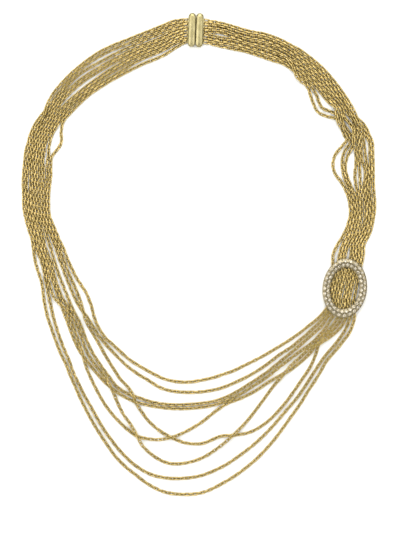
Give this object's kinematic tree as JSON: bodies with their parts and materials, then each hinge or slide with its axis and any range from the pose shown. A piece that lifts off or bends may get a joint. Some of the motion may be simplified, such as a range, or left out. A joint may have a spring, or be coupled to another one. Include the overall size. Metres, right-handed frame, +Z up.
{
  "type": "multi-strand necklace",
  "caption": "Fine chains lying in a closed loop, joined at a plain bar clasp and gathered through an oval slide set with small stones.",
  "frame": {"origin": "on the table, under the middle of the necklace's outline", "axes": "+Z up from the table that it lies on, +Y towards the clasp, +X towards the slide"},
  "size_m": [0.1416, 0.1928, 0.0038],
  "materials": {
    "chain": "polished gold",
    "clasp": "polished gold",
    "setting": "polished white gold",
    "stones": "cut and polished"
  },
  "bodies": {
    "root": {"strand_1": "chain", "strand_2": "chain", "strand_3": "chain", "strand_4": "chain", "strand_5": "chain", "strand_6": "chain", "strand_7": "chain", "strand_8": "chain", "strand_9": "chain", "clasp_left": "clasp", "clasp_right": "clasp", "slide_frame": "setting", "slide_stones": "stones"}
  },
  "joints": []
}
